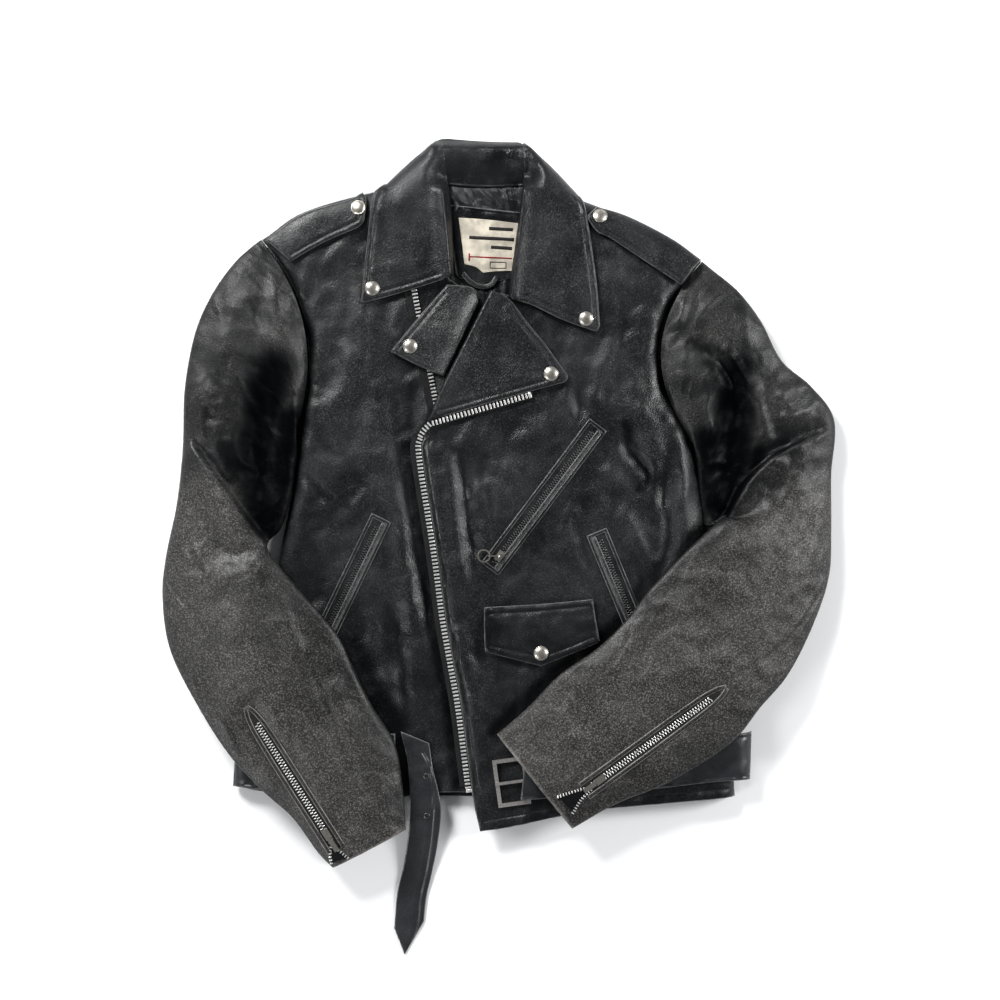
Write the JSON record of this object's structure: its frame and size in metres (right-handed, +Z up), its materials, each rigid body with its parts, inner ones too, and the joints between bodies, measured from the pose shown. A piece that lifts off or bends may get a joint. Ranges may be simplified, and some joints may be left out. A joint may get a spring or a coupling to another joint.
{
  "type": "leather motorcycle jacket",
  "caption": "Black leather biker jacket lying on its back, with an off-centre zip, notched lapels, slanted pockets, zipped cuffs and a buckled belt.",
  "frame": {"origin": "on the surface the jacket lies on, under the middle of its outline", "axes": "+Y from the hem to the collar, +Z up off the surface, +X towards the wearer's left"},
  "size_m": [0.674, 0.823, 0.0545],
  "materials": {
    "leather": "pebbled black hide with a satin top coat, rubbed pale along its edges",
    "satin": "black satin lining",
    "label": "cream woven label, blank",
    "teeth": "bright metal zip teeth",
    "nickel": "satin nickel, slightly tarnished"
  },
  "bodies": {
    "jacket": {"back_panel": "leather", "back_lining": "satin", "collar_back": "leather", "label_patch": "leather", "label": "label", "front_right": "leather", "front_right_side": "leather", "front_left": "leather", "front_left_side": "leather", "main_zip_left": "teeth", "main_zip_right": "teeth", "chest_welt": "leather", "chest_zip": "teeth", "hand_welt_right": "leather", "hand_zip_right": "teeth", "hand_welt_left": "leather", "hand_zip_left": "teeth", "collar_right_stud": "nickel", "collar_left_stud": "nickel", "lapel_right_stud": "nickel", "lapel_left_stud": "nickel", "epaulet_right_stud": "nickel", "epaulet_left_stud": "nickel", "flap_pocket": "leather", "pocket_flap_stud": "nickel", "belt_band": "leather", "upper_sleeve_right": "leather", "upper_sleeve_left": "leather"},
    "lapel_left": {"lapel_left": "leather", "lapel_left_snap": "nickel", "main_zip_lapel": "teeth"},
    "lapel_right": {"lapel_right": "leather", "lapel_right_snap": "nickel"},
    "collar_left": {"collar_left": "leather", "collar_left_snap": "nickel"},
    "collar_right": {"collar_right": "leather", "collar_right_snap": "nickel"},
    "epaulet_left": {"epaulet_left": "leather", "epaulet_left_snap": "nickel"},
    "epaulet_right": {"epaulet_right": "leather", "epaulet_right_snap": "nickel"},
    "flap": {"pocket_flap": "leather", "pocket_flap_snap": "nickel"},
    "main_slider": {"main_slider": "nickel"},
    "chest_slider": {"chest_slider": "nickel"},
    "chest_link": {"chest_link": "nickel"},
    "chest_ring": {"chest_ring": "nickel"},
    "hand_slider_right": {"hand_slider_right": "nickel"},
    "hand_slider_left": {"hand_slider_left": "nickel"},
    "buckle": {"buckle_frame": "nickel"},
    "prong": {"buckle_prong": "nickel"},
    "belt_tail": {"belt_tail": "leather"},
    "forearm_right": {"forearm_right": "leather", "cuff_zip_right": "teeth"},
    "forearm_left": {"forearm_left": "leather", "cuff_zip_left": "teeth"},
    "cuff_slider_right": {"cuff_slider_right": "nickel"},
    "cuff_slider_left": {"cuff_slider_left": "nickel"},
    "cuff_pull_right": {"cuff_pull_right": "nickel"},
    "cuff_pull_left": {"cuff_pull_left": "nickel"}
  },
  "joints": [
    {"name": "lapel_left_lift", "type": "hinge", "parent": "jacket", "child": "lapel_left", "pos_m": [-0.009, 0.258, 0.0281], "axis": [-0.4307, -0.9025, 0], "range_deg": [0, 75]},
    {"name": "lapel_right_lift", "type": "hinge", "parent": "jacket", "child": "lapel_right", "pos_m": [-0.02, 0.244, 0.021], "axis": [0.4222, 0.9065, 0], "range_deg": [0, 75]},
    {"name": "collar_left_lift", "type": "hinge", "parent": "jacket", "child": "collar_left", "pos_m": [0.031, 0.405, 0.0281], "axis": [-0.1209, -0.9927, 0], "range_deg": [0, 90]},
    {"name": "collar_right_lift", "type": "hinge", "parent": "jacket", "child": "collar_right", "pos_m": [-0.048, 0.269, 0.021], "axis": [-0.105, 0.9945, 0], "range_deg": [0, 90]},
    {"name": "epaulet_left_lift", "type": "hinge", "parent": "jacket", "child": "epaulet_left", "pos_m": [0.18, 0.264, 0.0281], "axis": [0.6207, 0.7841, 0], "range_deg": [0, 80]},
    {"name": "epaulet_right_lift", "type": "hinge", "parent": "jacket", "child": "epaulet_right", "pos_m": [-0.209, 0.287, 0.02], "axis": [0.7226, -0.6912, 0], "range_deg": [0, 80]},
    {"name": "flap_lift", "type": "hinge", "parent": "jacket", "child": "flap", "pos_m": [-0.015, -0.059, 0.0296], "axis": [-0.9973, -0.0732, 0], "range_deg": [0, 140]},
    {"name": "main_slide", "type": "slide", "parent": "jacket", "child": "main_slider", "axis": [-0.192, 0.9814, 0], "range_m": [0, 0.38]},
    {"name": "chest_slide", "type": "slide", "parent": "jacket", "child": "chest_slider", "axis": [0.6009, 0.7993, 0], "range_m": [0, 0.146]},
    {"name": "chest_link_turn", "type": "hinge", "parent": "chest_slider", "child": "chest_link", "pos_m": [-0.00039, -0.00791, 0.0301], "axis": [0, 1, 0], "range_deg": [0, 90]},
    {"name": "chest_ring_turn", "type": "hinge", "parent": "chest_link", "child": "chest_ring", "pos_m": [-0.00909, -0.00791, 0.0301], "axis": [0, 1, 0], "range_deg": [0, 60]},
    {"name": "hand_slide_right", "type": "slide", "parent": "jacket", "child": "hand_slider_right", "axis": [0.4349, 0.9005, 0], "range_m": [0, 0.13]},
    {"name": "hand_slide_left", "type": "slide", "parent": "jacket", "child": "hand_slider_left", "axis": [-0.3814, 0.9244, 0], "range_m": [0, 0.13]},
    {"name": "buckle_lift", "type": "hinge", "parent": "jacket", "child": "buckle", "pos_m": [0.027, -0.232, 0.0268], "axis": [-0.1395, 0.9902, 0], "range_deg": [0, 8]},
    {"name": "prong_lift", "type": "hinge", "parent": "buckle", "child": "prong", "pos_m": [0.027, -0.232, 0.0294], "axis": [-0.1395, 0.9902, 0], "range_deg": [0, 80]},
    {"name": "belt_tail_lift", "type": "hinge", "parent": "jacket", "child": "belt_tail", "pos_m": [-0.099, -0.184, 0.0172], "axis": [-0.924, 0.3824, 0], "range_deg": [0, 50]},
    {"name": "forearm_right_lift", "type": "hinge", "parent": "jacket", "child": "forearm_right", "pos_m": [-0.24, 0.015, 0.034], "axis": [-0.9639, -0.2536, -0.0811], "range_deg": [0, 60]},
    {"name": "forearm_left_lift", "type": "hinge", "parent": "jacket", "child": "forearm_left", "pos_m": [0.232, 0.04, 0.04], "axis": [-0.9682, 0.2111, 0.134], "range_deg": [0, 60]},
    {"name": "cuff_slide_right", "type": "slide", "parent": "forearm_right", "child": "cuff_slider_right", "axis": [-0.5347, 0.845, 0], "range_m": [0, 0.12]},
    {"name": "cuff_slide_left", "type": "slide", "parent": "forearm_left", "child": "cuff_slider_left", "axis": [0.8082, 0.5889, 0], "range_m": [0, 0.126]},
    {"name": "cuff_pull_right_turn", "type": "hinge", "parent": "cuff_slider_right", "child": "cuff_pull_right", "pos_m": [-0.1682, -0.2886, 0.0464], "axis": [-0.845, -0.5347, 0], "range_deg": [0, 100]},
    {"name": "cuff_pull_left_turn", "type": "hinge", "parent": "cuff_slider_left", "child": "cuff_pull_left", "pos_m": [0.0954, -0.2322, 0.0545], "axis": [-0.5889, 0.8082, 0], "range_deg": [0, 100]}
  ]
}
